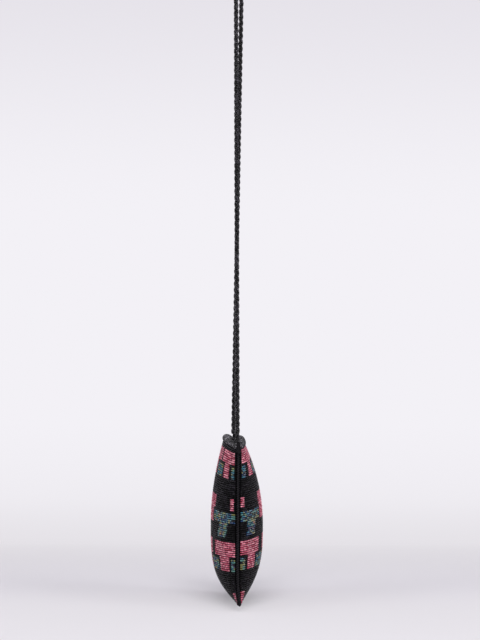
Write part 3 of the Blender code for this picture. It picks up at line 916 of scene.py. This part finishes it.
def backdrop_paper():
    """Grey paper. The camera sees the wall glow in colours that no lamp shades, without any light from it on the bag,
    and sees through it from behind. This glow is painted light and shade. It is bright low on the wall, greyer higher
    up and on the floor near the bag, and laid over the floor in front of the bag at up to 0.6, where it thins the
    bag's shadow."""
    paper = bpy.data.materials.new("backdrop paper")
    paper.use_nodes = True
    nodes, links = paper.node_tree.nodes, paper.node_tree.links
    shader = nodes["Principled BSDF"]
    shader.inputs["Base Color"].default_value = (*FLOOR_COLOUR, 1)
    shader.inputs["Roughness"].default_value = 0.9
    shader.inputs["Specular IOR Level"].default_value = 0.1
    where = nodes.new("ShaderNodeTexCoord")
    parts = nodes.new("ShaderNodeSeparateXYZ")
    links.new(where.outputs["Object"], parts.inputs["Vector"])

    def by_distance(start, end, most=1.0):
        """A share that grows from 0 to the most as the paper goes from one X to another."""
        made = nodes.new("ShaderNodeMapRange")
        made.inputs["From Min"].default_value = start
        made.inputs["From Max"].default_value = end
        made.inputs["To Max"].default_value = most
        links.new(parts.outputs["X"], made.inputs["Value"])
        return made.outputs["Result"]

    share = nodes.new("ShaderNodeMath")
    share.operation = "MAXIMUM"
    # Painted light: the floor in front of the bag glows at up to 0.6, which thins the bag's shadow there, and the
    # paper further back glows wholly.
    links.new(by_distance(-0.15, 0.05, 0.6), share.inputs[0])
    links.new(by_distance(-0.25, -0.8), share.inputs[1])
    # Painted shade: the wall's glow greys higher up.
    height = nodes.new("ShaderNodeMapRange")
    height.interpolation_type = "SMOOTHSTEP"
    height.inputs["From Min"].default_value = FLOOR + 0.55
    height.inputs["From Max"].default_value = FLOOR + 1.25
    links.new(parts.outputs["Z"], height.inputs["Value"])
    tint = nodes.new("ShaderNodeMix")
    tint.data_type = "RGBA"
    tint.inputs["A"].default_value = (*WALL_COLOUR, 1)
    tint.inputs["B"].default_value = (*HIGH_WALL_COLOUR, 1)
    links.new(height.outputs["Result"], tint.inputs["Factor"])
    flat = nodes.new("ShaderNodeMix")
    flat.data_type = "RGBA"
    flat.inputs["A"].default_value = (*FLOOR_COLOUR, 1)
    links.new(by_distance(-0.7, -2.2), flat.inputs["Factor"])
    links.new(tint.outputs["Result"], flat.inputs["B"])
    glow = nodes.new("ShaderNodeEmission")
    links.new(flat.outputs["Result"], glow.inputs["Color"])
    ray = nodes.new("ShaderNodeLightPath")
    seen = nodes.new("ShaderNodeMath")
    seen.operation = "MULTIPLY"
    links.new(ray.outputs["Is Camera Ray"], seen.inputs[0])
    links.new(share.outputs["Value"], seen.inputs[1])
    both = nodes.new("ShaderNodeMixShader")
    links.new(seen.outputs["Value"], both.inputs["Fac"])
    links.new(shader.outputs["BSDF"], both.inputs[1])
    links.new(glow.outputs["Emission"], both.inputs[2])
    side = nodes.new("ShaderNodeNewGeometry")
    behind = nodes.new("ShaderNodeMath")
    behind.operation = "MULTIPLY"
    links.new(side.outputs["Backfacing"], behind.inputs[0])
    links.new(ray.outputs["Is Camera Ray"], behind.inputs[1])
    clear = nodes.new("ShaderNodeBsdfTransparent")
    shown = nodes.new("ShaderNodeMixShader")
    links.new(behind.outputs["Value"], shown.inputs["Fac"])
    links.new(both.outputs["Shader"], shown.inputs[1])
    links.new(clear.outputs["BSDF"], shown.inputs[2])
    links.new(shown.outputs["Shader"], nodes["Material Output"].inputs["Surface"])
    return paper


def backdrop():
    """The floor, the cove and the wall in one sheet, which shows its face to the bag."""
    profile = [(FLOOR_AHEAD, FLOOR), (1.0, FLOOR), (-BACKDROP_DEPTH + COVE_RADIUS, FLOOR)]
    for step in range(1, COVE_STEPS + 1):
        turn = math.radians(90 * step / COVE_STEPS)
        profile.append(
            (-BACKDROP_DEPTH + COVE_RADIUS * (1 - math.sin(turn)), FLOOR + COVE_RADIUS * (1 - math.cos(turn)))
        )
    profile.append((-BACKDROP_DEPTH, FLOOR + BACKDROP_RISE))
    bm = bmesh.new()
    lines = [[bm.verts.new((x, y, z)) for x, z in profile] for y in (-BACKDROP_HALF, BACKDROP_HALF)]
    for i in range(len(profile) - 1):
        bm.faces.new((lines[0][i], lines[1][i], lines[1][i + 1], lines[0][i + 1]))
    mesh = bpy.data.meshes.new("backdrop")
    bm.to_mesh(mesh)
    bm.free()
    mesh.shade_smooth()
    mesh.materials.append(backdrop_paper())
    sheet = bpy.data.objects.new("backdrop", mesh)
    bpy.context.scene.collection.objects.link(sheet)


backdrop()


def soft_lamp(name, place, aim, size, power):
    lamp = bpy.data.lights.new(name, "AREA")
    lamp.shape = "RECTANGLE"
    lamp.size, lamp.size_y = size
    lamp.energy = power
    made = bpy.data.objects.new(name, lamp)
    bpy.context.scene.collection.objects.link(made)
    made.location = place
    made.rotation_mode = "QUATERNION"
    made.rotation_quaternion = (Vector(aim) - Vector(place)).to_track_quat("-Z", "Y")


belly = (0.0, 0.0, BAG_BASE + 0.1)
soft_lamp("front lamp", (2.7, 0.0, BAG_BASE + 2.5), belly, (1.8, 1.3), 92)
soft_lamp("left lamp", (1.6, -2.2, BAG_BASE + 1.6), belly, (1.4, 1.4), 13)
soft_lamp("right lamp", (1.6, 2.2, BAG_BASE + 1.6), belly, (1.4, 1.4), 18)

world = bpy.data.worlds.new("studio")
bpy.context.scene.world = world
world.use_nodes = True
sky = world.node_tree.nodes["Background"]
sky.inputs["Color"].default_value = (0.95, 0.95, 1.0, 1)
sky.inputs["Strength"].default_value = 0.42
bpy.context.scene.view_settings.view_transform = "Standard"


# Camera.
# It stands level with the strap's lower part, at the right-hand end of the bag and a little to the front.
IMAGE_HEIGHT = 640
FOCAL_PIXELS = 2576
CAMERA_X = 3.0
CAMERA_Y = -0.069
CAMERA_HEIGHT = 0.322
AIM_X = WIDTH / 2
AIM_Y = 0.0012
CAMERA_ROLL = math.radians(0.275)
SENSOR = 36.0

camera = bpy.data.cameras.new("camera")
camera.sensor_fit = "VERTICAL"
camera.sensor_height = SENSOR
camera.lens = FOCAL_PIXELS / IMAGE_HEIGHT * SENSOR
eye = bpy.data.objects.new("camera", camera)
bpy.context.scene.collection.objects.link(eye)
eye.location = (CAMERA_X, CAMERA_Y, BAG_BASE + CAMERA_HEIGHT)
look = Vector((AIM_X - CAMERA_X, AIM_Y - CAMERA_Y, 0))
eye.rotation_mode = "QUATERNION"
eye.rotation_quaternion = look.to_track_quat("-Z", "Y") @ Quaternion((0, 0, 1), CAMERA_ROLL)
bpy.context.scene.camera = eye
